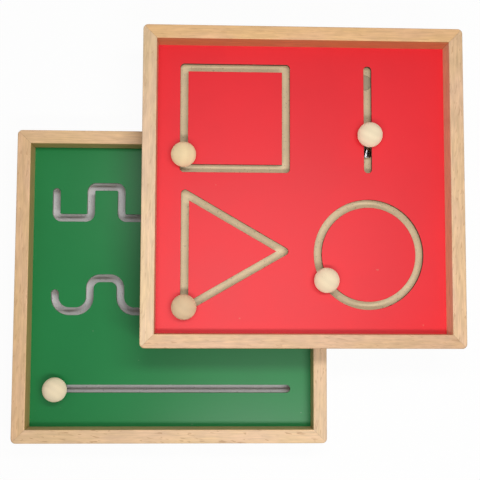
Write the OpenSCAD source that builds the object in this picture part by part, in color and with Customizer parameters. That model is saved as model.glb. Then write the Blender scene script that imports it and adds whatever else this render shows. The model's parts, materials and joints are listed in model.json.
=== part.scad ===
// A pair of wooden tracing boards: a red one with a square, a line, a triangle and a circle, lying on a
// green one with a meander, a wave and a straight line. In each slot a wooden bead slides on a bolt.
// The origin is on the table under the middle of the pair; +X is right and +Y is away from the user.

/* [Boards] */
// Outside length of each side of a board
board_side = 300; // [280:5:360]
// Width of a frame rail, seen from above
rail_w = 13; // [11:0.5:18]
// Radius of a board's outer upright corners
corner_r = 4.5; // [1:0.5:6]
// Depth of the tray above the painted face
tray_depth = 22; // [16:1:30]
// Least depth of the hollow under the back sheet
foot_min = 3; // [2:0.5:8]
// Room between the lower board's beads and the back sheet above them
stack_gap = 2.8; // [0.5:0.1:4]
// How far the red board's left edge lies left of the green board's middle
red_left = 26.5; // [20:0.5:40]
// How far the red board's near edge lies in front of the green board's middle
red_front = 58; // [57:0.5:64]

/* [Frame joints] */
// Depth of the groove that holds the sheets in the rails
groove_d = 5; // [3:0.5:7]
// Gap between a sheet's edge and the bottom of its groove
sheet_gap = 0.5; // [0.2:0.1:1]
// Thickness of a mitre spline
spline_t = 2.5; // [2:0.5:3]
// Width of a mitre spline across the joint
spline_w = 8; // [5:0.5:9]
// Distance of a spline from the rim and from the face
spline_inset = 4; // [2:0.5:6]

/* [Sheets] */
// Thickness of the painted face sheet
face_t = 4; // [3:0.5:6]
// Thickness of the back sheet
back_t = 3; // [2:0.5:6]
// Diameter of the plugs in the back sheet
plug_d = 15; // [10:0.5:16]
// Gap around a plug in its hole
plug_fit = 0.1; // [0.05:0.05:0.3]

/* [Tracks] */
// Width of the slots in the face
slot_w = 7.5; // [5.5:0.5:9]
// Side room of a washer in its channel under the face
channel_gap = 1.5; // [0.5:0.25:2]
// Room under a bolt's head
floor_gap = 0.6; // [0.3:0.1:2]

/* [Red tracks] */
// Distance between the two columns of figures
figure_dx = 127; // [125:0.5:132]
// Distance between the two rows of figures
figure_dy = 129.5; // [125:0.5:132]
// How far the figures' middle lies behind the board's middle
figure_y = 2.25; // [0:0.25:4]
// Side of the square track
square_side = 97; // [80:1:100]
// Side of the triangle track
triangle_side = 108.5; // [90:0.5:110]
// How far the triangle's middle lies behind the circle's
triangle_back = 2.5; // [0:0.5:4]
// Diameter of the circle track
circle_d = 96.8; // [80:0.2:100]
// Length of the line track between the centres of its round ends
line_length = 96; // [80:1:100]

/* [Green tracks] */
// How far the tracks' left ends lie left of the board's middle
track_left = 115; // [112:0.5:118]
// Distance between the rows of tracks
row_pitch = 91.5; // [88:0.5:94]
// How far the middle row lies in front of the board's middle
row_front = 9; // [6:0.5:10]
// Length of the straight track between the centres of its round ends
straight_length = 228; // [200:1:230]
// Width of a trough of the meander and the wave
trough_w = 34; // [32:0.5:35]
// Width of a crest of the meander and the wave
crest_w = 30; // [28:0.5:31]
// Height of the meander
meander_h = 31; // [28:0.5:36]
// Bend radius of the meander
meander_r = 5; // [4:0.5:9]
// How far the meander's ends stop short of its crests
meander_drop = 5.5; // [2:0.5:6]
// Height of the wave
wave_h = 32.5; // [30:0.5:38]
// Bend radius of the wave's troughs
trough_r = 14; // [12:0.5:15]
// Bend radius of the wave's crests
crest_r = 10; // [8:0.5:11]
// How far the wave's ends stop short of its crests
wave_drop = 15; // [12:0.5:15]

/* [Beads] */
// Diameter of a wooden ball
ball_d = 23.5; // [22:0.5:26]
// Running gap between a ball and the edges of its slot
ball_gap = 0.3; // [0.2:0.1:0.6]
// Diameter of a bolt's shank
bolt_d = 4; // [3:0.5:5]
// Bare length of a shank between its ball and its washer
bolt_free = 11.75; // [9:0.25:13]
// Depth of the blind hole in a ball
ball_hole = 14; // [10:0.5:17]
// Gap around and above a bolt in its ball
bolt_fit = 0.05; // [0.02:0.01:0.1]
// Diameter of a bolt's head
head_d = 8; // [7:0.5:9]
// Height of a bolt's head
head_h = 2.4; // [2:0.2:3]
// Width across the corners of the key socket in a bolt's head
socket_d = 2.9; // [2:0.1:3.4]
// Depth of the key socket
socket_h = 1.4; // [1:0.1:1.6]
// Diameter of a washer
washer_d = 14; // [12:0.5:15]
// Thickness of a washer
washer_t = 1; // [0.6:0.1:1.6]
// Gap between a washer and the shank
washer_fit = 0.1; // [0.05:0.05:0.3]
// Gap between a washer and the bolt's head
washer_play = 0.1; // [0.05:0.05:0.3]
// Gap between the leaning bead's washer and the face above it
lean_gap = 0.3; // [0.2:0.1:0.6]

/* [Places of the beads] */
// Square's bead, from the near corner of its side
square_bead = 11; // [0:0.5:60]
// Line's bead, from the near end of its track
line_bead = 31; // [22:0.5:60]
// Triangle's bead, from the near corner of its side
triangle_bead = 1.5; // [0:0.5:60]
// Circle's bead, as an angle from +X
circle_bead = 211; // [0:1:360]
// Straight track's bead, from the left end
straight_bead = 3.5; // [0:0.5:100]
// Meander's bead, from the far end of its last leg
meander_bead = 0; // [0:0.5:8]
// Line's plug, from the far end of its track
line_plug = 8; // [6:0.5:20]

/* [Hidden] */
$fn = 64;
through = 1;

// Across the board
opening = board_side - 2 * rail_w;
sheet_side = opening + 2 * (groove_d - sheet_gap);
channel_w = washer_d + 2 * channel_gap;
red_x = board_side / 2 - red_left;
red_y = board_side / 2 - red_front;

// Along a bead's own axis, from the middle of its ball
ball_r = ball_d / 2;
washer_top = ball_r + bolt_free;
head_top = washer_top + washer_t + washer_play;
head_bottom = head_top + head_h;

// Up through a board, from its underside
ball_rest = sqrt(pow(ball_r, 2) - pow(slot_w / 2, 2)) + ball_gap;
core_t = head_bottom - ball_rest + floor_gap - face_t;
foot_depth = max(foot_min, ball_rest + ball_r - tray_depth + stack_gap);
core_z = foot_depth + back_t;
face_z = core_z + core_t;
face_top = face_z + face_t;
board_h = face_top + tray_depth;

// The line's bead leans until its washer meets the underside of the face
lean_room = ball_rest + face_t + lean_gap;
washer_rim = norm([washer_top, washer_d / 2]);
lean = acos(lean_room / washer_rim) - atan2(washer_d / 2, washer_top);

// Middles of the red figures
left_x = -figure_dx / 2;
right_x = figure_dx / 2;
far_y = figure_y + figure_dy / 2;
near_y = figure_y - figure_dy / 2;

// The triangle stands on its point to the right, with the middle of its height at the column's middle
triangle_h = triangle_side * sqrt(3) / 2;
triangle_y = near_y + triangle_back;
square_points = [for (c = [[-1, -1], [1, -1], [1, 1], [-1, 1]]) [left_x, far_y] + c * square_side / 2];
triangle_points = [
    [left_x - triangle_h / 2, triangle_y - triangle_side / 2],
    [left_x + triangle_h / 2, triangle_y],
    [left_x - triangle_h / 2, triangle_y + triangle_side / 2]
];
line_points = [[right_x, far_y - line_length / 2], [right_x, far_y + line_length / 2]];

// Legs and levels of the green tracks
leg_count = 8;
function leg_x(i) = -track_left + floor(i / 2) * (trough_w + crest_w) + (i % 2) * trough_w;
last_leg = leg_x(leg_count - 1);
meander_low = row_pitch - row_front - meander_h / 2;
wave_low = -row_front - wave_h / 2;
straight_y = -row_pitch - row_front;
meander_end = meander_low + meander_h - meander_drop;
straight_points = [[-track_left, straight_y], [-track_left + straight_length, straight_y]];

// Every bead: name, board, place on the board, lean away from upright
BEADS = [
    ["square", "red", square_points[0] + [0, square_bead], 0],
    ["line", "red", line_points[0] + [0, line_bead], lean],
    ["triangle", "red", triangle_points[0] + [0, triangle_bead], 0],
    ["circle", "red", [right_x, near_y] + circle_d / 2 * [cos(circle_bead), sin(circle_bead)], 0],
    ["meander", "green", [last_leg, meander_end - meander_bead], 0],
    ["wave", "green", [last_leg - trough_r, wave_low], 0],
    ["straight", "green", straight_points[0] + [straight_bead, 0], 0]
];

// Each plug closes the hole behind its bead's place, except the line's, which is near the slot's far end
function plug_place(bead) = bead[0] == "line" ? line_points[1] - [0, line_plug] : bead[2];

SIDES = ["right", "back", "left", "front"];
BOARDS = ["red", "green"];
FIGURES = ["square", "triangle", "circle"];

BEECH = [0.87, 0.72, 0.55];
RED_PAINT = [0.88, 0.2, 0.22];
GREEN_PAINT = [0.16, 0.46, 0.27];
RAW_BOARD = [0.78, 0.69, 0.55];
GREY_BOARD = [0.62, 0.61, 0.6];
PALE_WOOD = [0.92, 0.82, 0.66];
STEEL = [0.72, 0.73, 0.75];

// A board's own frame: its middle, at its underside
module on_board(board) {
    side = board == "red" ? 1 : -1;
    translate([side * red_x / 2, side * red_y / 2, board == "red" ? board_h : 0]) children();
}

// Flat shapes of the tracks

// A straight run of a track from a to b, with round ends
module run(a, b, w) {
    along = b - a;
    translate(a) circle(d = w);
    translate(b) circle(d = w);
    translate(a) rotate(atan2(along[1], along[0])) translate([0, -w / 2]) square([norm(along), w]);
}

// A quarter bend of a track round a centre, starting at an angle
module bend(centre, r, start, w) {
    translate(centre) rotate(start) difference() {
        intersection() {
            circle(r = r + w / 2);
            square(r + w);
        }
        if (r > w / 2) circle(r = r - w / 2);
    }
}

// A closed track along straight sides
module loop(points, w) {
    for (i = [0 : len(points) - 1]) run(points[i], points[(i + 1) % len(points)], w);
}

// Legs joined by troughs and crests: the meander and the wave are the same track with other bends
module wavy(low, height, r_trough, r_crest, drop, w) {
    high = low + height;
    for (i = [0 : leg_count - 1]) {
        outer = i == 0 || i == leg_count - 1;
        run([leg_x(i), low + r_trough], [leg_x(i), outer ? high - drop : high - r_crest], w);
    }
    for (i = [0 : 2 : leg_count - 2]) {
        a = [leg_x(i) + r_trough, low];
        b = [leg_x(i + 1) - r_trough, low];
        run(a, b, w);
        bend(a + [0, r_trough], r_trough, 180, w);
        bend(b + [0, r_trough], r_trough, 270, w);
    }
    for (i = [1 : 2 : leg_count - 3]) {
        a = [leg_x(i) + r_crest, high];
        b = [leg_x(i + 1) - r_crest, high];
        run(a, b, w);
        bend(a - [0, r_crest], r_crest, 90, w);
        bend(b - [0, r_crest], r_crest, 0, w);
    }
}

// What a closed figure leaves inside its track of width w
module island(figure, w) {
    if (figure == "circle") {
        translate([right_x, near_y]) circle(d = circle_d - w);
    } else {
        points = figure == "square" ? square_points : triangle_points;
        difference() {
            polygon(points);
            loop(points, w);
        }
    }
}

// What a closed figure takes out of the sheet, track and island together
module clearing(figure, w) {
    if (figure == "circle") {
        translate([right_x, near_y]) circle(d = circle_d + w);
    } else {
        points = figure == "square" ? square_points : triangle_points;
        polygon(points);
        loop(points, w);
    }
}

module red_cut(w) {
    for (figure = FIGURES) clearing(figure, w);
    run(line_points[0], line_points[1], w);
}

module green_cut(w) {
    wavy(meander_low, meander_h, meander_r, meander_r, meander_drop, w);
    wavy(wave_low, wave_h, trough_r, crest_r, wave_drop, w);
    run(straight_points[0], straight_points[1], w);
}

// A face or core sheet with its tracks cut right through
module track_sheet(board, w) {
    difference() {
        square(sheet_side, center = true);
        if (board == "red") red_cut(w);
        if (board == "green") green_cut(w);
    }
}

module rounded_square(side, r) {
    square([side, side - 2 * r], center = true);
    square([side - 2 * r, side], center = true);
    for (x = [-1, 1]) for (y = [-1, 1]) translate([x, y] * (side / 2 - r)) circle(r = r);
}

// Frame

// Splines cross the mitres in the tray's walls, above the groove
module splines() {
    middle = (board_side - rail_w) / 2;
    for (turn = [0 : 90 : 270]) rotate(turn) translate([middle, middle, face_top + spline_inset])
        rotate(-45) translate([-spline_w / 2, -spline_t / 2, 0])
            cube([spline_w, spline_t, tray_depth - 2 * spline_inset]);
}

module frame_blank() {
    difference() {
        linear_extrude(board_h) rounded_square(board_side, corner_r);
        translate([0, 0, -through]) linear_extrude(board_h + 2 * through) square(opening, center = true);
        translate([0, 0, foot_depth]) linear_extrude(face_top - foot_depth)
            square(opening + 2 * groove_d, center = true);
        splines();
    }
}

// One rail is the quarter of the frame between two mitres
module rail(board, side) {
    turn = 90 * search([side], SIDES)[0];
    color(BEECH) on_board(board) intersection() {
        frame_blank();
        rotate(turn) linear_extrude(board_h)
            polygon([[0, 0], [board_side, -board_side], [board_side, board_side]]);
    }
}

module corner_splines(board) {
    color(BEECH) on_board(board) splines();
}

// Sheets

module face_sheet(board) {
    color(board == "red" ? RED_PAINT : GREEN_PAINT) on_board(board)
        translate([0, 0, face_z]) linear_extrude(face_t) track_sheet(board, slot_w);
}

module core_sheet(board) {
    color(RAW_BOARD) on_board(board)
        translate([0, 0, core_z]) linear_extrude(core_t) track_sheet(board, channel_w);
}

module back_sheet(board) {
    color(board == "red" ? RAW_BOARD : GREY_BOARD) on_board(board)
        translate([0, 0, foot_depth]) linear_extrude(back_t) difference() {
            square(sheet_side, center = true);
            for (bead = BEADS) if (bead[1] == board) translate(plug_place(bead)) circle(d = plug_d);
        }
}

module back_plugs(board) {
    color(board == "red" ? RAW_BOARD : GREY_BOARD) on_board(board)
        for (bead = BEADS) if (bead[1] == board)
            translate(concat(plug_place(bead), foot_depth)) cylinder(d = plug_d - 2 * plug_fit, h = back_t);
}

module face_island(figure) {
    color(RED_PAINT) on_board("red")
        translate([0, 0, face_z]) linear_extrude(face_t) island(figure, slot_w);
}

module core_island(figure) {
    color(RAW_BOARD) on_board("red")
        translate([0, 0, core_z]) linear_extrude(core_t) island(figure, channel_w);
}

// Beads, each drawn about the middle of its ball with its bolt pointing down

module at_bead(bead) {
    on_board(bead[1]) translate(concat(bead[2], face_top + ball_rest)) rotate([-bead[3], 0, 0]) children();
}

module ball(bead) {
    color(PALE_WOOD) at_bead(bead) difference() {
        sphere(r = ball_r);
        translate([0, 0, -ball_r - through])
            cylinder(d = bolt_d + 2 * bolt_fit, h = ball_hole + through);
    }
}

module bolt(bead) {
    shank_end = ball_hole - ball_r - bolt_fit;
    color(STEEL) at_bead(bead) difference() {
        union() {
            translate([0, 0, -head_top]) cylinder(d = bolt_d, h = head_top + shank_end);
            translate([0, 0, -head_bottom]) cylinder(d = head_d, h = head_h);
        }
        translate([0, 0, -head_bottom - through]) cylinder(d = socket_d, h = socket_h + through, $fn = 6);
    }
}

module washer(bead) {
    color(STEEL) at_bead(bead) translate([0, 0, -washer_top - washer_t]) difference() {
        cylinder(d = washer_d, h = washer_t);
        translate([0, 0, -through]) cylinder(d = bolt_d + 2 * washer_fit, h = washer_t + 2 * through);
    }
}

for (board = BOARDS) {
    for (side = SIDES)
        rail(board, side);
    corner_splines(board);
    face_sheet(board);
    core_sheet(board);
    back_sheet(board);
    back_plugs(board);
}
for (figure = FIGURES) {
    face_island(figure);
    core_island(figure);
}
for (bead = BEADS) {
    ball(bead);
    bolt(bead);
    washer(bead);
}
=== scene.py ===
import json
import math

import bmesh
import bpy
from mathutils import Matrix, Vector

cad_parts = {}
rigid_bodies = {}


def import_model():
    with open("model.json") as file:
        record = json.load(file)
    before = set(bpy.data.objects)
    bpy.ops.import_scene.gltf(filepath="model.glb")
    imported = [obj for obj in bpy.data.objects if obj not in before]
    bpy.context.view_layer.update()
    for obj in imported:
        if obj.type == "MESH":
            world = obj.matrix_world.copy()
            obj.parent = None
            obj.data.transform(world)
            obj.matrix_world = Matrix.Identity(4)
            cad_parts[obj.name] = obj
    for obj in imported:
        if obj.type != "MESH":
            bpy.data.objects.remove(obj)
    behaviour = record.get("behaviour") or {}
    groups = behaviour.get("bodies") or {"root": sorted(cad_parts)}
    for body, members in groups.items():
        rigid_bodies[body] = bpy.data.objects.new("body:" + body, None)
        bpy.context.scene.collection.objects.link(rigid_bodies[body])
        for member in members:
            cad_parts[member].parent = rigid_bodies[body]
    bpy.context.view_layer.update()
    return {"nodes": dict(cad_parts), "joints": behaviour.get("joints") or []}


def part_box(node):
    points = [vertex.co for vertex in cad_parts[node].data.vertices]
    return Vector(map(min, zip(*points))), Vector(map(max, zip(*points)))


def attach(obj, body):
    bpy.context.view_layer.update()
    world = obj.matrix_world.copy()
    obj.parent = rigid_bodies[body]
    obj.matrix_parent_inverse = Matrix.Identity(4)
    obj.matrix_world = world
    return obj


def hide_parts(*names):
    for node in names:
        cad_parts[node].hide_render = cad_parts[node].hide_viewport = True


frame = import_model()


# Rails
# Each board's frame is four laths of pale beech, planed square, grooved inside for the sheets and cut to
# mitres. Glue and a hidden spline close each corner; then the corner is rounded, the arrises are eased
# with sandpaper and a thin clear lacquer goes over the wood.
board_half = 0.150
rail_width = 0.013
rail_inner = board_half - rail_width
groove_depth = 0.005
corner_round = 0.0045
corner_steps = 8
rim_arris = 0.0009
foot_arris = 0.0005
arris_steps = 4
crease_angle = math.radians(40)
glue_line = 0.00006
mitre_lead = 0.002


def board_place(board):
    """The middle of a board, at its underside."""
    front_low, front_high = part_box(f"{board}_front_rail")
    back_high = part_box(f"{board}_back_rail")[1]
    return Vector(((front_low.x + front_high.x) / 2, (front_low.y + back_high.y) / 2, front_low.z))


def lath_section(height, groove_low, groove_high):
    """A lath's section, as distance in from its outer face and height, with the arrises eased."""
    corners = [
        (0, 0, foot_arris),
        (rail_width, 0, foot_arris),
        (rail_width, groove_low, 0),
        (rail_width - groove_depth, groove_low, 0),
        (rail_width - groove_depth, groove_high, 0),
        (rail_width, groove_high, 0),
        (rail_width, height, rim_arris),
        (0, height, rim_arris),
    ]
    section = []
    for i, (across, up, ease) in enumerate(corners):
        here = Vector((across, up))
        if not ease:
            section.append(here)
            continue
        back = (Vector(corners[i - 1][:2]) - here).normalized()
        ahead = (Vector(corners[(i + 1) % len(corners)][:2]) - here).normalized()
        for step in range(arris_steps + 1):
            turn = math.radians(90) * step / arris_steps
            section.append(here + ease * ((1 - math.sin(turn)) * back + (1 - math.cos(turn)) * ahead))
    return section


def lath_stations():
    """Where the section stands along a lath on the near side: points on its outer and its inner face, which
    fan out round the corner from the mitre at each end."""
    bend_middle = board_half - corner_round
    right = []
    for step in range(corner_steps + 1):
        share = step / corner_steps
        turn = math.radians(45 + 45 * share)
        gap = glue_line if step == 0 else 0
        outer = Vector((bend_middle + corner_round * math.cos(turn) - gap,
                        -bend_middle - corner_round * math.sin(turn)))
        inner = Vector((rail_inner - mitre_lead * share - gap, -rail_inner))
        right.append((outer, inner))
    left = [(Vector((-outer.x, outer.y)), Vector((-inner.x, inner.y))) for outer, inner in right]
    return left + right[::-1]


def piece(name, shape):
    """Turns a worked-out shape into an object with soft arrises and flat flats."""
    bmesh.ops.recalc_face_normals(shape, faces=shape.faces)
    for face in shape.faces:
        face.smooth = True
    mesh = bpy.data.meshes.new(name)
    shape.to_mesh(mesh)
    shape.free()
    mesh.set_sharp_from_angle(angle=crease_angle)
    made = bpy.data.objects.new(name, mesh)
    bpy.context.scene.collection.objects.link(made)
    flats = made.modifiers.new("flats", "WEIGHTED_NORMAL")
    flats.keep_sharp = True
    return made


def lath(name, section):
    """A mitred lath for the near side of a board, drawn about the board's middle."""
    shape = bmesh.new()
    rows = []
    for outer, inner in lath_stations():
        row = []
        for across, up in section:
            spot = outer + (inner - outer) * across / rail_width
            row.append(shape.verts.new((spot.x, spot.y, up)))
        rows.append(row)
    count = len(section)
    for row, following in zip(rows, rows[1:]):
        for i in range(count):
            j = (i + 1) % count
            shape.faces.new((row[i], row[j], following[j], following[i]))
    shape.faces.new(rows[0])
    shape.faces.new(rows[-1])
    return piece(name, shape)


def new_finish(name, sockets):
    """A material with one surface shader; what is the same all over goes straight on its sockets."""
    finish = bpy.data.materials.new(name)
    finish.use_nodes = True
    surface = finish.node_tree.nodes["Principled BSDF"]
    for socket, value in sockets.items():
        surface.inputs[socket].default_value = value
    return finish, finish.node_tree, surface


def shade(tree, kind, sockets, **settings):
    """Adds a node, with a value or another node's output on each of the sockets named."""
    made = tree.nodes.new(kind)
    for key, value in settings.items():
        setattr(made, key, value)
    for key, value in sockets.items():
        if isinstance(value, bpy.types.NodeSocket):
            tree.links.new(value, made.inputs[key])
        else:
            made.inputs[key].default_value = value
    return made


def calc(tree, operation, first, second=0.0):
    """Arithmetic on one number or two, worked out by a node."""
    return shade(tree, "ShaderNodeMath", {0: first, 1: second}, operation=operation).outputs[0]


def between(tree, value, low, high):
    """Rises from 0 to 1 as the value goes from low to high."""
    sockets = {"Value": value, "From Min": low, "From Max": high}
    return shade(tree, "ShaderNodeMapRange", sockets, interpolation_type="SMOOTHSTEP").outputs[0]


def spread(tree, value, low, high):
    """Goes from low to high as the value goes from 0 to 1."""
    return shade(tree, "ShaderNodeMapRange", {"Value": value, "To Min": low, "To Max": high}).outputs[0]


def tint(tree, amount, first, second):
    """A colour that goes from the first to the second as the amount goes from 0 to 1."""
    pair = [c if isinstance(c, bpy.types.NodeSocket) else (*c, 1) for c in (first, second)]
    sockets = {0: amount, 6: pair[0], 7: pair[1]}
    return shade(tree, "ShaderNodeMix", sockets, data_type="RGBA").outputs[2]


def stain(tree, under, mask, share, over):
    """Lays a colour over another where the mask is 1, at this share of its full strength."""
    return tint(tree, calc(tree, "MULTIPLY", mask, share), under, over)


def dim(tree, colour, amount):
    """The colour, darkened or lightened by the amount."""
    sockets = {0: 1.0, 6: colour, 7: amount}
    return shade(tree, "ShaderNodeMix", sockets, data_type="RGBA", blend_type="MULTIPLY").outputs[2]


def times(colour, factor):
    """A colour with all of its parts made stronger or weaker alike."""
    return tuple(c * factor for c in colour)


def toned(colour, factors):
    """A colour with each of its parts made stronger or weaker by its own factor."""
    return tuple(c * factor for c, factor in zip(colour, factors))


def own_place(tree, shift):
    """Places on the piece itself, moved along so that no two pieces show the same wood."""
    still = shade(tree, "ShaderNodeTexCoord", {}).outputs["Object"]
    return shade(tree, "ShaderNodeVectorMath", {0: still, 1: shift}, operation="ADD").outputs[0]


def streaks(tree, place, repeats, detail=2.0, distortion=0.0):
    """Noise with this many repeats in a metre along each axis."""
    stretched = shade(tree, "ShaderNodeMapping", {"Vector": place, "Scale": repeats}).outputs[0]
    noise = {"Vector": stretched, "Scale": 1.0, "Detail": detail, "Distortion": distortion}
    return shade(tree, "ShaderNodeTexNoise", noise).outputs[0]


def arris_mask(tree, reach):
    """Is 1 on arrises and 0 on flats, by how far an eased normal leans off the true one."""
    on_flat, on_arris = 0.985, 0.85
    eased = shade(tree, "ShaderNodeBevel", {"Radius": reach}, samples=4).outputs[0]
    true = shade(tree, "ShaderNodeNewGeometry", {}).outputs["Normal"]
    same = shade(tree, "ShaderNodeVectorMath", {0: eased, 1: true}, operation="DOT_PRODUCT").outputs["Value"]
    return between(tree, same, on_flat, on_arris)


def roughen(tree, surface, height, depth, strength):
    """Gives the surface a fine relief."""
    sockets = {"Height": height, "Distance": depth, "Strength": strength}
    relief = shade(tree, "ShaderNodeBump", sockets)
    tree.links.new(relief.outputs[0], surface.inputs["Normal"])


# Repeats of the wood's figure in a metre, along the grain and across it both ways
patch_repeats = (18, 70, 70)
cloud_repeats = (75, 330, 330)
fibre_repeats = (50, 900, 900)
ray_repeats = (110, 560, 560)
# Its tones, as shares of the rail's own colour
yellow_tone = (0.99, 1, 0.94)
pink_tone = (1.01, 0.995, 1.07)
dark_fibre, light_fibre = 0.89, 1.08
ray_tone = (0.56, 0.44, 0.35)
wear_and_highlight_tone = 1.25
seam_tone = 0.5
# Light clouds have this share of the dark ones' strength
light_cloud = 0.8
# The slant of the ray flecks, and the strength of noise at which they begin and are whole
ray_slant = 0.15
ray_from, ray_whole = 0.64, 0.70
# The pale arrises, which are wear with a painted highlight, and the seam of the mitre, and how far
# before the mitre each begins and is whole
wear_and_highlight_share, wear_and_highlight_reach = 0.7, 0.001
wear_and_highlight_from, wear_and_highlight_whole = -0.001, -0.002
seam_share = 0.12
seam_from, seam_whole = -0.0005, -0.0001


def beech(name, colour, flecked, figured, inner_face_shading, shift):
    """Lacquered beech with its grain along x: yellow and pink patches, clouds, fine fibres and the short
    dark flecks of its rays. The arrises are painted pale, as wear together with a painted highlight, and the
    inner face carries painted shade, or painted light on some rails."""
    finish, tree, surface = new_finish(name, {"Coat Weight": 0.1, "Coat Roughness": 0.35})
    place = own_place(tree, shift)
    patches = between(tree, streaks(tree, place, patch_repeats), 0.3, 0.7)
    clouds = between(tree, streaks(tree, place, cloud_repeats, detail=4.0), 0.25, 0.75)
    fibres = streaks(tree, place, fibre_repeats, detail=3.0)
    wood = tint(tree, patches, toned(colour, yellow_tone), toned(colour, pink_tone))
    wood = dim(tree, wood, spread(tree, clouds, 1 - figured, 1 + light_cloud * figured))
    wood = dim(tree, wood, spread(tree, between(tree, fibres, 0.25, 0.75), dark_fibre, light_fibre))
    slanted = {"Vector": place, "Angle": ray_slant}
    askew = shade(tree, "ShaderNodeVectorRotate", slanted, rotation_type="Z_AXIS").outputs[0]
    rays = streaks(tree, askew, ray_repeats, detail=1.0, distortion=0.5)
    flecks = between(tree, rays, ray_from, ray_whole)
    wood = stain(tree, wood, flecks, flecked, toned(colour, ray_tone))
    on_lath = shade(tree, "ShaderNodeTexCoord", {}).outputs
    sides = shade(tree, "ShaderNodeSeparateXYZ", {0: on_lath["Object"]}).outputs
    past_mitre = calc(tree, "ADD", sides["Y"], calc(tree, "ABSOLUTE", sides["X"]))
    # Pale arrises: partly wear, partly a painted highlight where the eased edge catches the light.
    along = between(tree, past_mitre, wear_and_highlight_from, wear_and_highlight_whole)
    wear_and_highlight = calc(tree, "MULTIPLY", arris_mask(tree, wear_and_highlight_reach), along)
    wood = stain(tree, wood, wear_and_highlight, wear_and_highlight_share, times(colour, wear_and_highlight_tone))
    seam = between(tree, past_mitre, seam_from, seam_whole)
    wood = stain(tree, wood, seam, seam_share, times(colour, seam_tone))
    # Painted shade on the inner face, and painted light where a factor is above 1.
    facing = shade(tree, "ShaderNodeSeparateXYZ", {0: on_lath["Normal"]}).outputs
    inwards = between(tree, facing["Y"], 0.5, 1.0)
    wood = dim(tree, wood, tint(tree, inwards, (1, 1, 1), inner_face_shading))
    tree.links.new(wood, surface.inputs["Base Color"])
    tree.links.new(spread(tree, fibres, 0.42, 0.62), surface.inputs["Roughness"])
    roughen(tree, surface, calc(tree, "SUBTRACT", fibres, flecks), depth=0.00008, strength=0.35)
    return finish


rail_turns = {"front": 0, "right": 90, "back": 180, "left": 270}
next_plank = (0.37, 0.11, 0.23)
# Each rail's colour, the strength of its ray flecks and of its clouds, and the painted shade or light on its
# inner face
rail_woods = {
    "red_front": ((0.643, 0.395, 0.2115), 0.4, 0.13, (0.9, 0.86, 0.8)),
    "red_right": ((0.765, 0.5, 0.288), 0.45, 0.12, (1.0, 1.14, 1.16)),
    "red_back": ((0.805, 0.487, 0.235), 0.2, 0.08, (0.78, 0.6, 0.49)),
    "red_left": ((0.73, 0.505, 0.296), 0.3, 0.1, (0.95, 0.92, 0.88)),
    "green_front": ((0.728, 0.485, 0.27), 0.7, 0.08, (0.9, 0.9, 0.8)),
    "green_right": ((0.665, 0.455, 0.252), 0.5, 0.08, (0.9, 0.9, 0.8)),
    "green_back": ((0.715, 0.462, 0.243), 0.2, 0.08, (0.79, 0.78, 0.6)),
    "green_left": ((0.72, 0.457, 0.242), 0.35, 0.09, (0.78, 0.79, 0.56)),
}
for number, (rail, (colour, flecked, figured, inner_face_shading)) in enumerate(rail_woods.items()):
    board, side = rail.split("_")
    middle = board_place(board)
    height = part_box(f"{rail}_rail")[1].z - middle.z
    groove_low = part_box(f"{board}_back_sheet")[0].z - middle.z
    groove_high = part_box(f"{board}_face_sheet")[1].z - middle.z
    made = lath(f"{rail}_lath", lath_section(height, groove_low, groove_high))
    made.matrix_world = Matrix.Translation(middle) @ Matrix.Rotation(math.radians(rail_turns[side]), 4, "Z")
    plank = times(next_plank, number)
    made.data.materials.append(beech(f"{rail}_beech", colour, flecked, figured, inner_face_shading, plank))
    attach(made, f"{board}_board")
    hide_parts(f"{rail}_rail")


# Corner splines
# Thin beech keys glued into saw cuts across the mitres. They are closed in by the rails, so the plain
# blocks of the frame stay and only take the wood's finish.
def dress(node, finish):
    """Gives a finish to a piece that keeps its plain block."""
    block = frame["nodes"][node]
    block.data.materials.clear()
    block.data.materials.append(finish)


spline_beech = beech(
    "spline_beech",
    colour=(0.7, 0.46, 0.29),
    flecked=0.3,
    figured=0.1,
    inner_face_shading=(1, 1, 1),
    shift=(0.05, 0.4, 0.3),
)
for board in ("red", "green"):
    dress(f"{board}_corner_splines", spline_beech)


# Back sheets, core sheets and core islands
# Sheets of bare fibreboard that slide into the grooves: a thin back, then a thick core with wide channels
# in which the washers run. The back is the floor that shows through the slots, pale brown in the red
# board and faced with grey paper in the green one.
def bare_board(name, colour, shift, edge_shade=0.0):
    """Pressed fibres: a soft mottle, darker specks and a dull dry surface. A loose disc gets painted shade
    along its edges.
    """
    finish, tree, surface = new_finish(name, {"Roughness": 0.8, "Specular IOR Level": 0.3})
    place = own_place(tree, shift)
    mottle = streaks(tree, place, repeats=(60, 60, 60), detail=4.0)
    fibres = streaks(tree, place, repeats=(900, 900, 900), detail=3.0)
    mixed = calc(tree, "ADD", calc(tree, "MULTIPLY", mottle, 0.5), calc(tree, "MULTIPLY", fibres, 0.5))
    pressed = tint(tree, between(tree, mixed, 0.3, 0.7), times(colour, 0.9), times(colour, 1.08))
    specks = between(tree, streaks(tree, place, repeats=(420, 420, 420), detail=0.0), 0.72, 0.78)
    pressed = stain(tree, pressed, specks, share=0.5, over=times(colour, 0.55))
    if edge_shade:
        # Painted shade along the disc's edge, for the dark gap between it and the sheet round it.
        edge_shade_reach = 0.001
        pressed = stain(tree, pressed, arris_mask(tree, edge_shade_reach), edge_shade, times(colour, 0.1))
    tree.links.new(pressed, surface.inputs["Base Color"])
    roughen(tree, surface, fibres, depth=0.0001, strength=0.3)
    return finish


brown_board = bare_board("brown_board", colour=(0.88, 0.71, 0.465), shift=(0.1, 0.2, 0.3))
grey_board = bare_board("grey_board", colour=(0.69, 0.69, 0.70), shift=(0.5, 0.1, 0.2))
for node in ("red_back_sheet", "red_core_sheet", "green_core_sheet"):
    dress(node, brown_board)
for figure in ("square", "triangle", "circle"):
    dress(f"{figure}_core_island", brown_board)
dress("green_back_sheet", grey_board)


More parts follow.
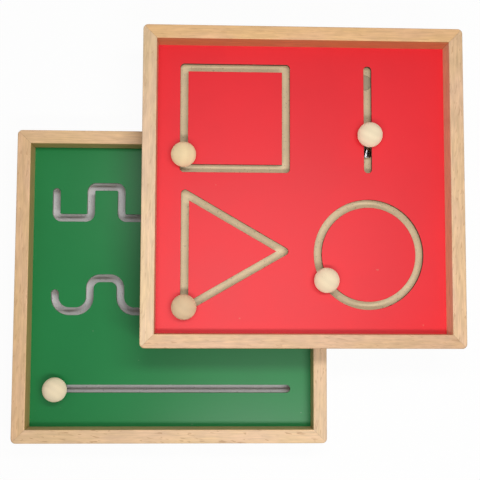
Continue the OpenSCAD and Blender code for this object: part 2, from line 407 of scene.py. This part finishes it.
# Face sheets and face islands
# Thin board, painted on top with satin red or green paint and then routed, so the paint ends in a crisp
# edge and the walls of the slots are bare; their dark colour is bare board with painted shade. A closed
# track cuts an island free, which is glued to the core.
slot_width = 0.0075
half_slot = slot_width / 2
sheet_half = 0.1415
face_arris = 0.0003
# Halfway round an arris the edge stands in by this share of it
arris_middle = 0.3
# The least cosine of half a corner's turn, so that no corner is moved in too far
sharpest_mitre = 0.3
# Degrees from point to point round a bend
bend_step = 3
painted_side, cut_side = 0, 1
figure_left, figure_right = -0.0635, 0.0635
circle_y, triangle_y, figure_far = -0.0625, -0.060, 0.067
square_half = 0.0485
triangle_half = 0.05425
triangle_reach = triangle_half * math.sqrt(3) / 2
circle_middle = (figure_right, circle_y)
circle_radius = 0.0484
line_half = 0.048
track_left = -0.115
trough_count = 4
trough_width, crest_width = 0.034, 0.030
meander_low, meander_height, meander_bend, meander_drop = 0.067, 0.031, 0.005, 0.0055
wave_low, wave_height, wave_drop = -0.02525, 0.0325, 0.015
wave_trough_bend, wave_crest_bend = 0.014, 0.010
straight_length = 0.228
straight_y = -0.1005
four_corners = ((-1, -1), (1, -1), (1, 1), (-1, 1))
sheet_edge = [(x * sheet_half, y * sheet_half) for x, y in four_corners]
square_corners = [(figure_left + x * square_half, figure_far + y * square_half) for x, y in four_corners]
triangle_corners = [(figure_left - triangle_reach, triangle_y - triangle_half),
                    (figure_left + triangle_reach, triangle_y),
                    (figure_left - triangle_reach, triangle_y + triangle_half)]
line_ends = [(figure_right, figure_far - line_half), (figure_right, figure_far + line_half)]
straight_ends = [(track_left, straight_y), (track_left + straight_length, straight_y)]


def arc(middle, radius, start, end):
    """Points along an arc, both ends included, angles in degrees."""
    steps = max(1, math.ceil(abs(end - start) / bend_step))
    turns = [math.radians(start + (end - start) * i / steps) for i in range(steps + 1)]
    return [(middle[0] + radius * math.cos(t), middle[1] + radius * math.sin(t)) for t in turns]


def ring(middle, radius):
    """Points all the way round a circle, anticlockwise."""
    return arc(middle, radius, 0, 360)[:-1]


def heading(start, end):
    """The direction from one point to another, in degrees."""
    return math.degrees(math.atan2(end[1] - start[1], end[0] - start[0]))


def outside_of(corners, reach):
    """The line that a round bit leaves outside these corners, anticlockwise."""
    outline = []
    for i, corner in enumerate(corners):
        arrive = heading(corners[i - 1], corner) - 90
        leave = heading(corner, corners[(i + 1) % len(corners)]) - 90
        outline += arc(corner, reach, arrive, arrive + (leave - arrive) % 360)
    return outline


def moved_in(outline, reach):
    """The outline moved towards its left, which is the side of the wood."""
    moved = []
    for i, spot in enumerate(outline):
        here = Vector(spot)
        arrive = (here - Vector(outline[i - 1])).normalized()
        leave = (Vector(outline[(i + 1) % len(outline)]) - here).normalized()
        left = Vector((-arrive.y - leave.y, arrive.x + leave.x)).normalized()
        mitre = left.dot(Vector((-arrive.y, arrive.x)))
        moved.append(here + left * reach / max(sharpest_mitre, mitre))
    return moved


def wavy_slot(low, height, trough_bend, crest_bend, drop):
    """The edge of a slot that goes up and down between its troughs and crests, clockwise round the cut.
    Both ends stop short of the crests' height by the drop."""
    path = []

    def bend(middle, radius, start, turn):
        """Adds the points of a bend to the path, each with the direction in which the path goes on there."""
        spots = arc(middle, radius, start, start + turn)
        forwards = 90 if turn > 0 else -90
        for step, spot in enumerate(spots):
            path.append((spot, start + turn * step / (len(spots) - 1) + forwards))

    def beside(spot, ahead, side):
        """A point on the slot's edge, to one side of the path."""
        turn = math.radians(ahead + side)
        return (spot[0] + half_slot * math.cos(turn), spot[1] + half_slot * math.sin(turn))

    high = low + height
    pitch = trough_width + crest_width
    path.append(((track_left, high - drop), -90))
    for trough in range(trough_count):
        left = track_left + trough * pitch
        right = left + trough_width
        bend((left + trough_bend, low + trough_bend), trough_bend, 180, 90)
        bend((right - trough_bend, low + trough_bend), trough_bend, 270, 90)
        if trough < trough_count - 1:
            following = left + pitch
            bend((right + crest_bend, high - crest_bend), crest_bend, 180, -90)
            bend((following - crest_bend, high - crest_bend), crest_bend, 90, -90)
    path.append(((right, high - drop), 90))
    (first_spot, first_ahead), (last_spot, last_ahead) = path[0], path[-1]
    outline = [beside(spot, ahead, 90) for spot, ahead in path[:-1]]
    outline += arc(last_spot, half_slot, last_ahead + 90, last_ahead - 90)
    outline += [beside(spot, ahead, -90) for spot, ahead in path[-2:0:-1]]
    outline += arc(first_spot, half_slot, first_ahead - 90, first_ahead - 270)[:-1]
    return outline


def cut_board(name, outlines, low, high):
    """A board cut to these outlines, wood on their left, with the upper arris just eased."""
    shape = bmesh.new()
    top, under = [], []
    eased = face_arris * arris_middle
    levels = [(0, low), (0, high - face_arris), (eased, high - eased), (face_arris, high)]
    for outline in outlines:
        rows = [[shape.verts.new((x, y, up)) for x, y in moved_in(outline, reach)] for reach, up in levels]
        count = len(outline)
        for row, above in zip(rows, rows[1:]):
            for i in range(count):
                j = (i + 1) % count
                wall = shape.faces.new((row[i], row[j], above[j], above[i]))
                wall.material_index = cut_side if row is rows[0] else painted_side
        under += [shape.edges.get((rows[0][i - 1], rows[0][i])) for i in range(count)]
        top += [shape.edges.get((rows[-1][i - 1], rows[-1][i])) for i in range(count)]
    for edges, side in ((under, cut_side), (top, painted_side)):
        filled = bmesh.ops.triangle_fill(shape, use_beauty=True, edges=edges)
        for part in filled["geom"]:
            if isinstance(part, bmesh.types.BMFace):
                part.material_index = side
    return piece(name, shape)


def paint(name, colour, bare, shift, shine, dullness):
    """Rolled satin paint: a faint mottle, fine orange peel, specks of dust, and chips along the cuts."""
    finish, tree, surface = new_finish(name, {"Specular IOR Level": shine})
    chip_reach = 0.0006
    dull_play = 0.03
    place = own_place(tree, shift)
    mottle = streaks(tree, place, repeats=(14, 14, 14), detail=3.0)
    peel = streaks(tree, place, repeats=(1100, 1100, 1100), detail=1.0)
    coat = tint(tree, between(tree, mottle, 0.25, 0.75), times(colour, 0.96), times(colour, 1.04))
    specks = between(tree, streaks(tree, place, repeats=(240, 240, 240), detail=0.0), 0.89, 0.91)
    coat = stain(tree, coat, specks, share=0.15, over=bare)
    chipped = between(tree, streaks(tree, place, repeats=(330, 330, 330)), 0.6, 0.68)
    chips = calc(tree, "MULTIPLY", chipped, arris_mask(tree, chip_reach))
    coat = stain(tree, coat, chips, share=0.7, over=bare)
    tree.links.new(coat, surface.inputs["Base Color"])
    dull_low, dull_high = dullness - dull_play, dullness + dull_play
    tree.links.new(spread(tree, mottle, dull_low, dull_high), surface.inputs["Roughness"])
    roughen(tree, surface, peel, depth=0.00004, strength=0.12)
    return finish


red_outlines = [sheet_edge]
for corners in (square_corners, triangle_corners, line_ends):
    red_outlines.append(outside_of(corners, half_slot)[::-1])
red_outlines.append(ring(circle_middle, circle_radius + half_slot)[::-1])
green_outlines = [sheet_edge, outside_of(straight_ends, half_slot)[::-1]]
green_outlines.append(wavy_slot(meander_low, meander_height, meander_bend, meander_bend, meander_drop))
green_outlines.append(wavy_slot(wave_low, wave_height, wave_trough_bend, wave_crest_bend, wave_drop))
painted = {
    "red_face_sheet": red_outlines,
    "green_face_sheet": green_outlines,
    "square_face_island": [moved_in(square_corners, half_slot)],
    "triangle_face_island": [moved_in(triangle_corners, half_slot)],
    "circle_face_island": [ring(circle_middle, circle_radius - half_slot)],
}
red_coat, green_coat = (0.785, 0.015, 0.025), (0.008, 0.19, 0.046)
red_bare, green_bare = (0.62, 0.46, 0.28), (0.45, 0.43, 0.41)
paints = {
    "red": paint("red_paint", red_coat, red_bare, shift=(0.3, 0.1, 0.2), shine=0.31, dullness=0.47),
    "green": paint("green_paint", green_coat, green_bare, shift=(0.2, 0.5, 0.1), shine=0.22, dullness=0.33),
}
# The cut walls and the underside are coloured dark: bare board with painted shade.
shaded_cut_edges = {
    "red": bare_board("red_cut_edge_painted_shade", colour=(0.16, 0.08, 0.045), shift=(0.8, 0.1, 0.3)),
    "green": bare_board("green_cut_edge_painted_shade", colour=(0.3, 0.29, 0.27), shift=(0.2, 0.8, 0.3)),
}
for node, outlines in painted.items():
    board = "green" if node.startswith("green") else "red"
    middle = board_place(board)
    low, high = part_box(node)
    made = cut_board(node.replace("_face", "_painted"), outlines, low.z - middle.z, high.z - middle.z)
    made.matrix_world = Matrix.Translation(middle)
    made.data.materials.append(paints[board])
    made.data.materials.append(shaded_cut_edges[board])
    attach(made, f"{board}_board")
    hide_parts(node)


# Bolts
# Bright steel bolts with a round head and a key socket. Each goes in through a hole in the back sheet,
# up through its washer and the slot, and is screwed and glued into its ball. Heights are from the middle
# of the ball.
shank_radius = 0.002
shank_end = 0.0022
head_radius = 0.004
head_low, head_high = -0.0270, -0.0246
head_ease = 0.0005
head_eased = head_ease * arris_middle
socket_radius = 0.00145
socket_floor = -0.0256
socket_flats = 6
bolt_steps = 36
beads = ("square", "line", "triangle", "circle", "meander", "wave", "straight")
spins = {joint["child"]: joint for joint in frame["joints"]}


def turned(name, profile, steps, closed=False):
    """A piece made on a lathe, from its profile's lower end up: radius, height, and how many flats it has
    there, which is 0 where it is round. The steps go round it."""
    shape = bmesh.new()
    rows = []
    for radius, up, flats in profile:
        if radius == 0:
            rows.append([shape.verts.new((0, 0, up))])
            continue
        row = []
        for step in range(steps):
            turn = 2 * math.pi * step / steps
            reach = radius
            if flats:
                wedge = 2 * math.pi / flats
                reach *= math.cos(wedge / 2) / math.cos(turn % wedge - wedge / 2)
            row.append(shape.verts.new((reach * math.cos(turn), reach * math.sin(turn), up)))
        rows.append(row)
    pairs = list(zip(rows, rows[1:])) + ([(rows[-1], rows[0])] if closed else [])
    for row, above in pairs:
        for i in range(steps):
            j = (i + 1) % steps
            corners = [row[i % len(row)], row[j % len(row)], above[j % len(above)], above[i % len(above)]]
            shape.faces.new(list(dict.fromkeys(corners)))
    return piece(name, shape)


def at_bead(made, bead):
    """Sets a turned piece up on its bead's own axis."""
    spin = spins[f"{bead}_knob"]
    lean = Vector((0, 0, 1)).rotation_difference(Vector(spin["axis"])).to_matrix().to_4x4()
    made.matrix_world = Matrix.Translation(spin["pos_m"]) @ lean
    return made


def steel(name, colour, shift):
    """Bright steel with fine turning marks round its axis."""
    finish, tree, surface = new_finish(name, {"Metallic": 1.0})
    place = own_place(tree, shift)
    marks = streaks(tree, place, repeats=(60, 60, 4000), detail=1.0)
    stains = streaks(tree, place, repeats=(500, 500, 500))
    metal = tint(tree, between(tree, stains, 0.3, 0.7), times(colour, 0.9), times(colour, 1.05))
    tree.links.new(metal, surface.inputs["Base Color"])
    tree.links.new(spread(tree, stains, 0.12, 0.24), surface.inputs["Roughness"])
    roughen(tree, surface, marks, depth=0.00002, strength=0.2)
    return finish


bolt_profile = [
    (0, socket_floor, 0),
    (socket_radius, socket_floor, socket_flats),
    (socket_radius, head_low, socket_flats),
    (head_radius - head_ease, head_low, 0),
    (head_radius - head_eased, head_low + head_eased, 0),
    (head_radius, head_low + head_ease, 0),
    (head_radius, head_high - head_eased, 0),
    (head_radius - head_eased, head_high, 0),
    (shank_radius, head_high, 0),
    (shank_radius, shank_end - head_ease, 0),
    (shank_radius - head_ease, shank_end, 0),
    (0, shank_end, 0),
]
bolt_steel = steel("bolt_steel", colour=(0.62, 0.62, 0.63), shift=(0.1, 0.1, 0.1))
for bead in beads:
    made = at_bead(turned(f"{bead}_key_bolt", bolt_profile, bolt_steps), bead)
    made.data.materials.append(bolt_steel)
    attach(made, f"{bead}_knob")
    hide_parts(f"{bead}_bolt")


# Washers
# Stamped steel washers, loose on the bolts and wider than the slots. They run along the channels under
# the face and keep the beads from being pulled out.
washer_low, washer_high = -0.0245, -0.0235
washer_radius = 0.007
washer_bore = 0.0021
washer_ease = 0.0002
washer_steps = 48
washer_profile = [
    (washer_bore, washer_low + washer_ease, 0),
    (washer_bore + washer_ease, washer_low, 0),
    (washer_radius - washer_ease, washer_low, 0),
    (washer_radius, washer_low + washer_ease, 0),
    (washer_radius, washer_high - washer_ease, 0),
    (washer_radius - washer_ease, washer_high, 0),
    (washer_bore + washer_ease, washer_high, 0),
    (washer_bore, washer_high - washer_ease, 0),
]
washer_steel = steel("washer_steel", colour=(0.55, 0.55, 0.56), shift=(0.3, 0.2, 0.1))
for bead in beads:
    made = at_bead(turned(f"{bead}_loose_washer", washer_profile, washer_steps, closed=True), bead)
    made.data.materials.append(washer_steel)
    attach(made, f"{bead}_slider")
    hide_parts(f"{bead}_washer")


# Back plugs
# Discs of the same board that are glued into the holes of the back sheet once the bolts are in. They are
# coloured darker than the sheet, with painted shade along their edges. One shows through the line's slot,
# the others sit behind their beads.
plug_edge_shade = 0.9
brown_plug = bare_board("brown_plug", (0.56, 0.46, 0.32), shift=(0.7, 0.3, 0.2), edge_shade=plug_edge_shade)
grey_plug = bare_board("grey_plug", (0.46, 0.46, 0.46), shift=(0.6, 0.2, 0.4), edge_shade=plug_edge_shade)
dress("red_back_plugs", brown_plug)
dress("green_back_plugs", grey_plug)


# Balls
# Turned beads of pale close-grained wood, sanded and left without lacquer. Each has a blind hole for its
# bolt, with the small flat that the drill press leaves round it.
ball_radius = 0.01175
ball_hole = 0.00205
hole_end = 0.00225
hole_flat = 0.0031
ball_rows = 40
ball_steps = 64
first_lie, next_lie = (0, 0.9, 0), (0.4, 0.5, 0.7)
first_billet, next_billet = (0, 0, 0.07), (0.13, 0.29, 0)


def ball_wood(name, colour, lie, shift):
    """Fine pale wood: rings that show as faint ovals, short fibres and a soft dry sheen."""
    finish, tree, surface = new_finish(name, {
        "Specular IOR Level": 0.2,
        "Diffuse Roughness": 0.5,
        "Sheen Weight": 0.2,
        "Sheen Tint": (*colour, 1),
    })
    laid = {"Vector": own_place(tree, shift), "Rotation": lie}
    place = shade(tree, "ShaderNodeMapping", laid).outputs[0]
    slow = streaks(tree, place, repeats=(25, 130, 130))
    fibres = streaks(tree, place, repeats=(160, 1700, 1700))
    bent = {"Vector": place, "Scale": 42.0, "Distortion": 2.5, "Detail": 2.0, "Detail Scale": 0.6}
    rings = shade(tree, "ShaderNodeTexWave", bent, wave_type="RINGS", rings_direction="X").outputs[1]
    mixed = calc(tree, "ADD", calc(tree, "MULTIPLY", slow, 0.4), calc(tree, "MULTIPLY", rings, 0.25))
    mixed = calc(tree, "ADD", mixed, calc(tree, "MULTIPLY", fibres, 0.35))
    wood = tint(tree, between(tree, mixed, 0.2, 0.8), times(colour, 0.95), times(colour, 1.04))
    pores = between(tree, streaks(tree, place, repeats=(300, 1500, 1500), detail=0.0), 0.72, 0.8)
    wood = stain(tree, wood, pores, share=0.25, over=times(colour, 0.7))
    tree.links.new(wood, surface.inputs["Base Color"])
    tree.links.new(spread(tree, fibres, 0.5, 0.65), surface.inputs["Roughness"])
    roughen(tree, surface, fibres, depth=0.00006, strength=0.25)
    return finish


def stepped(first, step, number):
    """Where the piece with this number comes, by equal steps from the first."""
    return tuple(start + more * number for start, more in zip(first, step))


flat_height = -math.sqrt(ball_radius**2 - hole_flat**2)
first_turn = math.asin(flat_height / ball_radius)
ball_profile = [
    (0, hole_end, 0),
    (ball_hole, hole_end, 0),
    (ball_hole, flat_height, 0),
    (hole_flat, flat_height, 0),
]
for step in range(1, ball_rows):
    turn = first_turn + (math.pi / 2 - first_turn) * step / ball_rows
    ball_profile.append((ball_radius * math.cos(turn), ball_radius * math.sin(turn), 0))
ball_profile.append((0, ball_radius, 0))
ball_colours = {
    "square": (0.84, 0.67, 0.41),
    "line": (0.88, 0.76, 0.55),
    "triangle": (0.70, 0.525, 0.33),
    "circle": (0.85, 0.72, 0.51),
    "meander": (0.84, 0.68, 0.44),
    "wave": (0.86, 0.70, 0.46),
    "straight": (0.87, 0.745, 0.53),
}
for number, (bead, colour) in enumerate(ball_colours.items()):
    made = at_bead(turned(f"{bead}_bead", ball_profile, ball_steps), bead)
    made.data.transform(made.matrix_world.to_3x3().to_4x4())
    made.matrix_world = Matrix.Translation(made.matrix_world.translation)
    lie = stepped(first_lie, next_lie, number)
    billet = stepped(first_billet, next_billet, number)
    made.data.materials.append(ball_wood(f"{bead}_bead_wood", colour, lie, billet))
    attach(made, f"{bead}_knob")
    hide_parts(f"{bead}_ball")


# Table
# A plain white table top under the boards. It is white to the eye and in reflections, and it keeps a
# faint shadow of the boards.
table_half = 4.0
table_gap = 0.0002
table_glow = 0.95
shape = bmesh.new()
bmesh.ops.create_grid(shape, x_segments=1, y_segments=1, size=table_half)
table_mesh = bpy.data.meshes.new("table")
shape.to_mesh(table_mesh)
shape.free()
table = bpy.data.objects.new("table", table_mesh)
table.location.z = -table_gap
bpy.context.scene.collection.objects.link(table)


def seen_directly(tree):
    """Is 1 for what the eye, a reflection or a glass sees, and 0 for light on its way."""
    path = tree.nodes.new("ShaderNodeLightPath")
    mirrored = calc(tree, "MAXIMUM", path.outputs["Is Glossy Ray"], path.outputs["Is Transmission Ray"])
    return calc(tree, "MAXIMUM", path.outputs["Is Camera Ray"], mirrored)


white_table = bpy.data.materials.new("white_table")
white_table.use_nodes = True
tree = white_table.node_tree
tree.nodes.clear()
chalk = shade(tree, "ShaderNodeBsdfDiffuse", {"Color": (0.85, 0.85, 0.84, 1)}).outputs[0]
glow = shade(tree, "ShaderNodeEmission", {"Color": (1, 1, 1, 1), "Strength": 1.0}).outputs[0]
share = calc(tree, "MULTIPLY", seen_directly(tree), table_glow)
both = shade(tree, "ShaderNodeMixShader", {0: share, 1: chalk, 2: glow}).outputs[0]
shade(tree, "ShaderNodeOutputMaterial", {"Surface": both})
table.data.materials.append(white_table)


# Light
# Two long soft boxes hang over each board in a pale room, one on the near and one on the far side of the
# camera. Those of the red board are closer together and light only that board with its beads, and those
# of the green board light all the rest.
room_light = 0.25
# Each box's place, length and width, and watts
soft_boxes = {
    "red_near_box": ((-0.02, -0.23, 0.82), (0.44, 0.08), 2.8),
    "red_far_box": ((0.06, 0.05, 0.82), (0.44, 0.09), 2.3),
    "green_near_box": ((0.17, -0.34, 0.86), (0.5, 0.12), 3.5),
    "green_far_box": ((0.12, 0.17, 0.86), (0.5, 0.12), 3.5),
}
red_things = ("red", "square", "line", "triangle", "circle")
lit = {"red": bpy.data.collections.new("red_lit"), "green": bpy.data.collections.new("green_lit")}
for made in bpy.context.scene.objects:
    if made.type == "MESH":
        lit["red" if made.name.startswith(red_things) else "green"].objects.link(made)
for name, (place, size, power) in soft_boxes.items():
    lamp = bpy.data.lights.new(name, "AREA")
    lamp.shape = "RECTANGLE"
    lamp.size, lamp.size_y = size
    lamp.energy = power
    box = bpy.data.objects.new(name, lamp)
    box.location = place
    box.visible_camera = False
    box.light_linking.receiver_collection = lit[name.split("_")[0]]
    bpy.context.scene.collection.objects.link(box)
room = bpy.data.worlds.new("room")
bpy.context.scene.world = room
room.use_nodes = True
tree = room.node_tree
tree.nodes.clear()
soft = shade(tree, "ShaderNodeBackground", {"Color": (1, 1, 1, 1), "Strength": room_light}).outputs[0]
white = shade(tree, "ShaderNodeBackground", {"Color": (1, 1, 1, 1), "Strength": 1.0}).outputs[0]
both = shade(tree, "ShaderNodeMixShader", {0: seen_directly(tree), 1: soft, 2: white}).outputs[0]
shade(tree, "ShaderNodeOutputWorld", {"Surface": both})
bpy.context.scene.view_settings.view_transform = "Standard"


# Camera
# It hangs over the near half of the boards, a little to the left of their middle, and looks down at them,
# slightly to the right and away from the front.
camera_place = (-0.02724, -0.06570, 0.87333)
camera_right = (0.99926, 0.00395, 0.03823)
camera_up = (-0.00688, 0.99703, 0.07676)
camera_back = (-0.03781, -0.07697, 0.99632)
lens = bpy.data.cameras.new("camera")
lens.sensor_width = 36.0
lens.lens = 64.32
camera = bpy.data.objects.new("camera", lens)
facing = Matrix((camera_right, camera_up, camera_back)).transposed().to_4x4()
camera.matrix_world = Matrix.Translation(camera_place) @ facing
bpy.context.scene.collection.objects.link(camera)
bpy.context.scene.camera = camera
